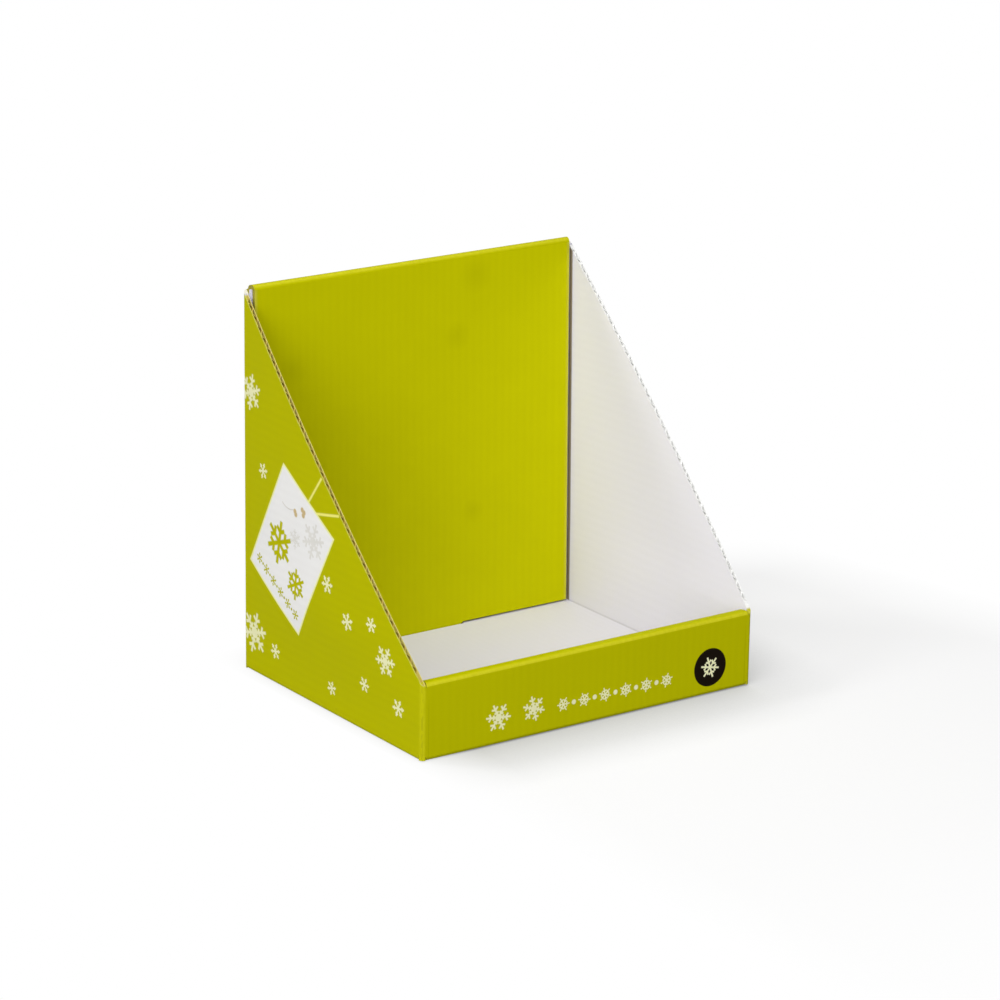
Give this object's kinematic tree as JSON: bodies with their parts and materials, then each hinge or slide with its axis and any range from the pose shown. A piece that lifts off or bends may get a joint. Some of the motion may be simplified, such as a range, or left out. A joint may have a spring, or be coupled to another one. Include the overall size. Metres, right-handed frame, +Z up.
{
  "type": "cardboard counter display stand",
  "caption": "Open-fronted counter display stand folded from printed corrugated board, with a low lip, sloping sides and a tall back, holding small goods on a shop counter.",
  "frame": {"origin": "middle of the underside of the base", "axes": "+X to the right seen from the front, +Y from the low front to the tall back, +Z up"},
  "size_m": [0.3076, 0.2406, 0.3],
  "materials": {
    "printed_board": "lime green print with a satin varnish on the outer liner, bare white inner liner, brown flutes at the cut edges"
  },
  "bodies": {
    "root": {"folded_stand": "printed_board"}
  },
  "joints": []
}
